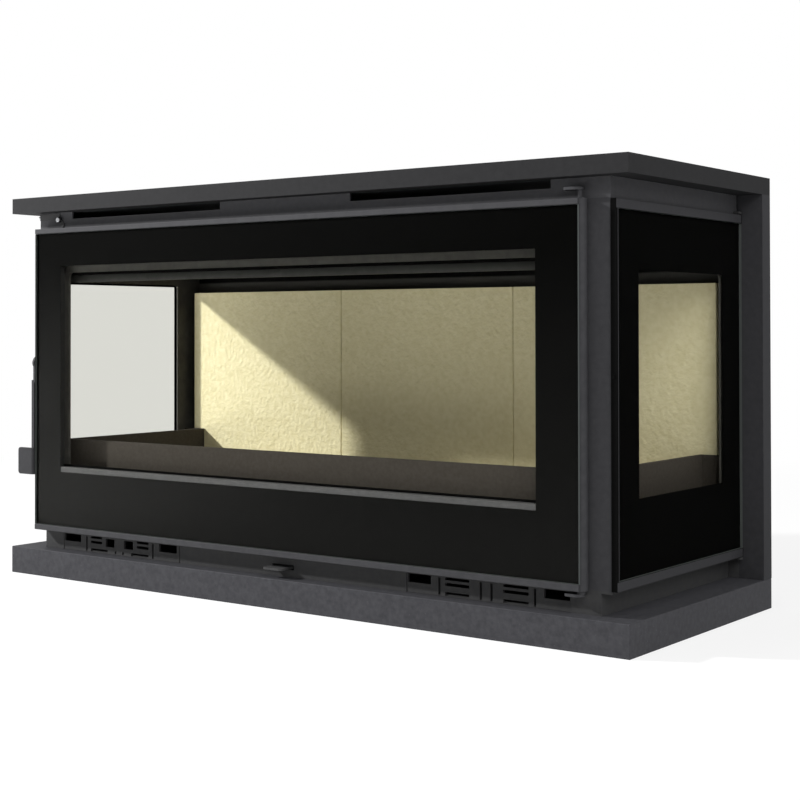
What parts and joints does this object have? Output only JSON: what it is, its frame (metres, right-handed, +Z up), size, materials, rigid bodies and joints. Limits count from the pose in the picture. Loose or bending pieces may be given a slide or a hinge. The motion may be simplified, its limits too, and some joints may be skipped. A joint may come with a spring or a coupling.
{
  "type": "fireplace insert",
  "caption": "Wide built-in wood-burning fireplace insert glazed on three sides, with a hinged front door, hinged side leaves, a slab below and a dark trim above.",
  "frame": {"origin": "middle of the footprint, on the surface the slab stands on", "axes": "+Z up, +Y from the front to the back, +X to the right seen from the front"},
  "size_m": [1.16, 0.54, 0.645],
  "materials": {
    "slab": "honed dark stone, faintly speckled",
    "graphite": "matt graphite stove paint",
    "black_steel": "matt black heat-proof paint",
    "casing": "plain zinc-coated sheet",
    "firebox": "matt black heat-proof paint, sooted",
    "hardware": "plain steel pins and screws",
    "pane": "clear glass-ceramic",
    "enamel": "black enamel fired on the back of the pane",
    "seal": "woven glass-fibre seal",
    "lining": "pale cream vermiculite board",
    "floor": "grey firebrick",
    "cast": "bare grey casting, ash-dulled",
    "duct": "plain rolled steel",
    "baffle": "browned vermiculite board"
  },
  "bodies": {
    "insert": {"hearth_slab": "slab", "top_trim": "graphite", "rear_upright_left": "graphite", "rear_upright_right": "graphite", "levelling_feet": "hardware", "base_tray": "black_steel", "base_front": "black_steel", "air_grilles": "black_steel", "base_deck": "black_steel", "air_valve_box": "casing", "corner_post_left": "black_steel", "corner_post_right": "black_steel", "header": "black_steel", "front_frame": "firebox", "side_frame_left": "firebox", "side_frame_right": "firebox", "firebox_back": "firebox", "firebox_roof": "firebox", "casing_wrap": "casing", "casing_lid": "casing", "flue_collar": "duct", "warm_air_spigots": "duct", "air_inlet_spigot": "duct", "back_board_left": "lining", "back_board_centre": "lining", "back_board_right": "lining", "firebox_floor": "floor", "baffle_board": "baffle", "baffle_rests": "firebox", "fire_grate": "cast", "ash_pan": "casing", "fuel_retainer_front": "cast", "fuel_retainer_left": "cast", "fuel_retainer_right": "cast", "air_wash_deflector": "firebox", "door_hinge_brackets": "black_steel", "door_hinge_pins": "hardware", "latch_strike": "hardware", "catch_spring": "black_steel", "catch_screw": "hardware", "leaf_hinge_ears": "black_steel"},
    "air_slide": {"air_slider": "black_steel"},
    "front_door": {"door_frame": "black_steel", "hinge_stile": "graphite", "door_strips": "graphite", "door_glass": "pane", "door_enamel_border": "enamel", "door_glass_tape": "seal", "door_rope_seal": "seal", "latch_pivot_pin": "hardware"},
    "latch": {"latch_lever": "graphite"},
    "side_leaf_right": {"leaf_frame_right": "black_steel", "leaf_seal_right": "seal", "leaf_glass_right": "pane", "leaf_enamel_border_right": "enamel"},
    "side_leaf_left": {"leaf_frame_left": "black_steel", "leaf_seal_left": "seal", "leaf_glass_left": "pane", "leaf_enamel_border_left": "enamel"}
  },
  "joints": [
    {"name": "door_hinge", "type": "hinge", "parent": "insert", "child": "front_door", "pos_m": [0.502, -0.2525, 0.3235], "axis": [0, 0, 1], "range_deg": [0, 105]},
    {"name": "latch_pivot", "type": "hinge", "parent": "front_door", "child": "latch", "pos_m": [-0.5305, -0.256, 0.3505], "axis": [-1, 0, 0], "range_deg": [0, 30]},
    {"name": "leaf_hinge_right", "type": "hinge", "parent": "insert", "child": "side_leaf_right", "pos_m": [0.5453, 0.129, 0.3235], "axis": [0, 0, 1], "range_deg": [0, 85]},
    {"name": "leaf_hinge_left", "type": "hinge", "parent": "insert", "child": "side_leaf_left", "pos_m": [-0.5453, 0.129, 0.3235], "axis": [0, 0, -1], "range_deg": [0, 85]},
    {"name": "air_control", "type": "slide", "parent": "insert", "child": "air_slide", "axis": [0, -1, 0], "range_m": [0, 0.03]}
  ]
}
